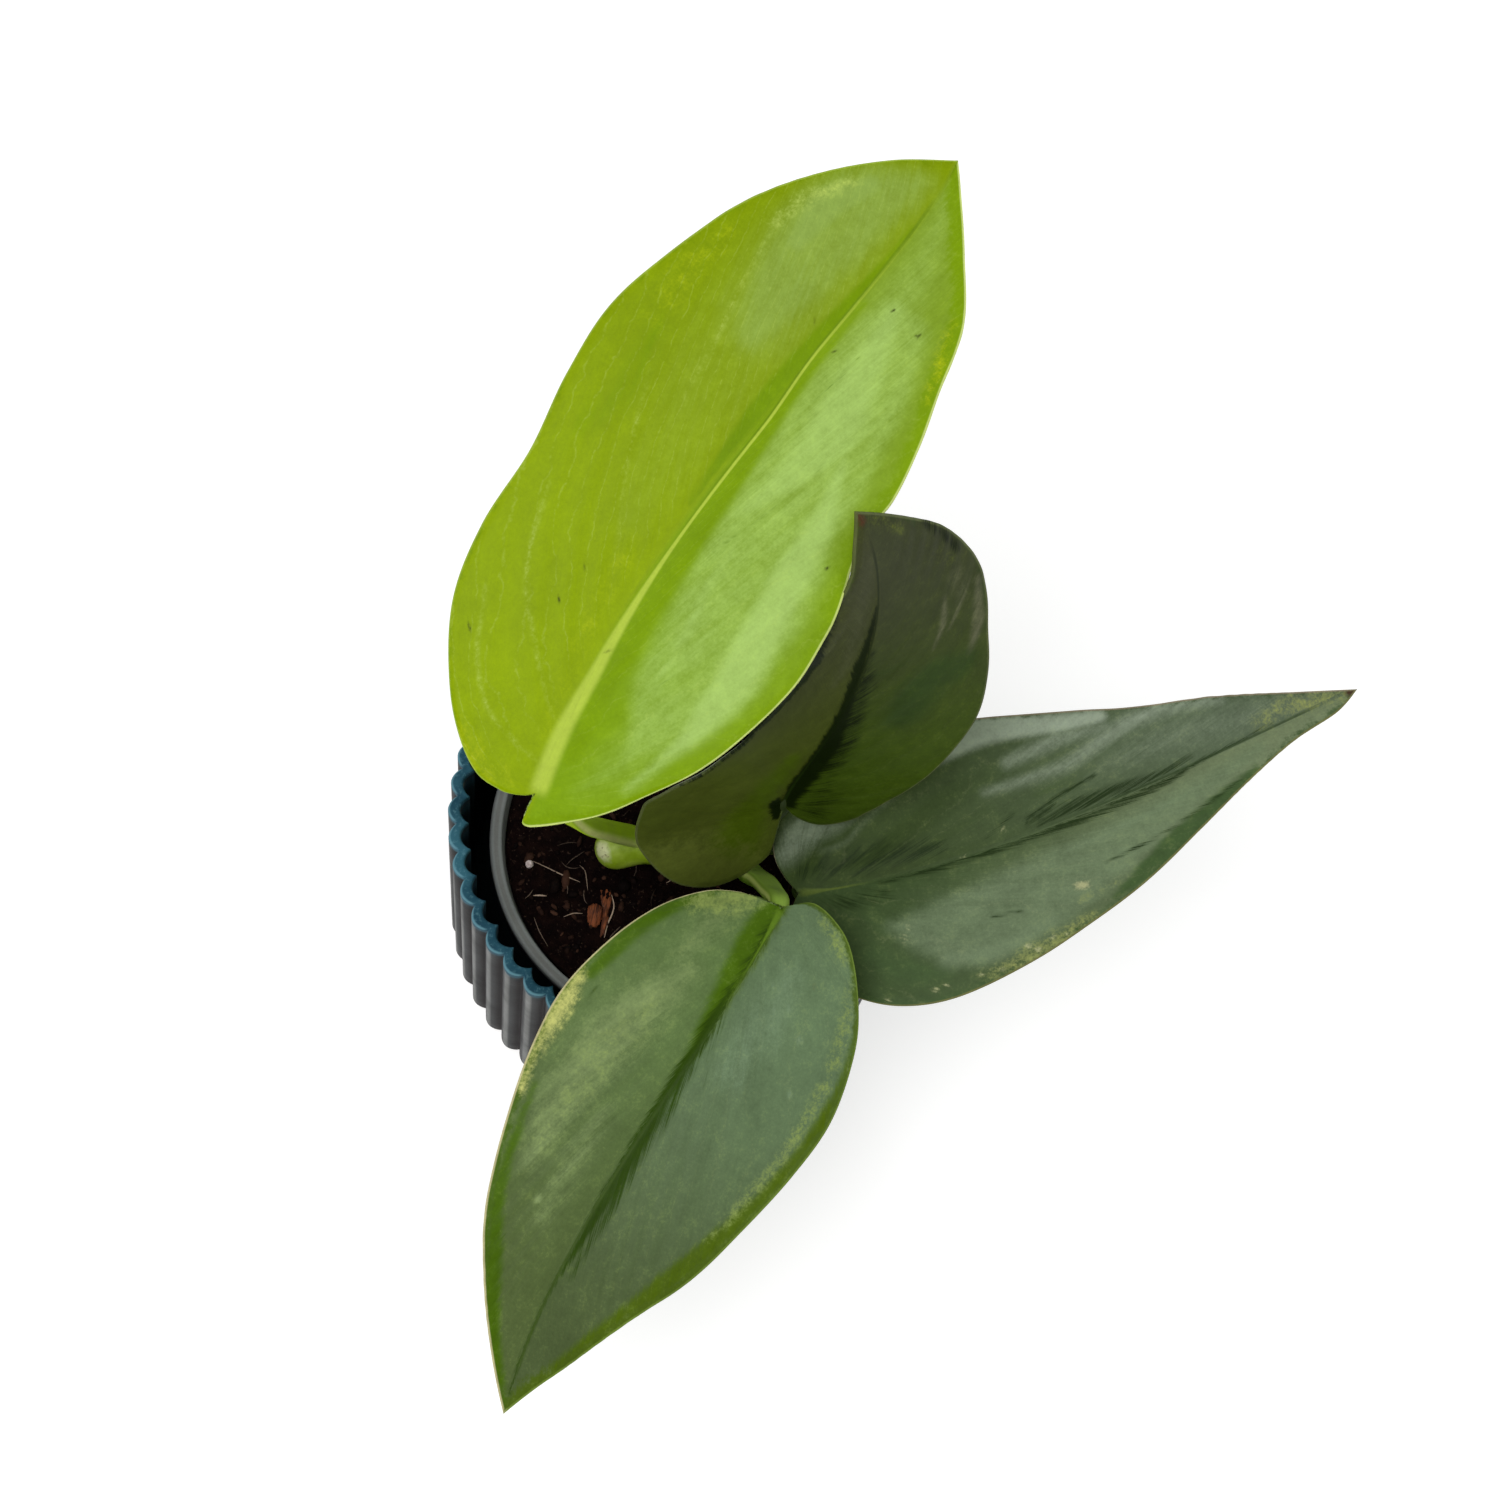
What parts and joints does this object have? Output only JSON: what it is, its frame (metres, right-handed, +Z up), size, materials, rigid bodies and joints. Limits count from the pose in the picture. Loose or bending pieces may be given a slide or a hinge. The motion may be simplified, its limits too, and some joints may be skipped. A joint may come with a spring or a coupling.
{
  "type": "potted moonlight scindapsus",
  "caption": "Young moonlight scindapsus with broad pointed leaves on winged petioles, growing from a piece of vine in a grow pot inside a fluted outer pot.",
  "frame": {"origin": "centre of the outer pot's flat base, where it stands", "axes": "+Z up along the pot's axis; the front leaf hangs over the rim toward -Y; the long right leaf reaches toward +X and +Y"},
  "size_m": [0.129, 0.1582, 0.1379],
  "materials": {
    "outer_pot_glaze": "satin",
    "grow_pot_plastic": "satin",
    "potting_soil": "matte",
    "vine_tissue": "satin",
    "lime_leaf": "satin",
    "dark_leaf": "satin",
    "silver_leaf": "satin",
    "front_leaf": "satin"
  },
  "bodies": {
    "root": {"outer_pot": "outer_pot_glaze", "grow_pot": "grow_pot_plastic", "soil": "potting_soil", "vine": "vine_tissue", "leaf_new": "lime_leaf", "leaf_middle": "dark_leaf", "leaf_right": "silver_leaf", "leaf_front": "front_leaf"}
  },
  "joints": []
}
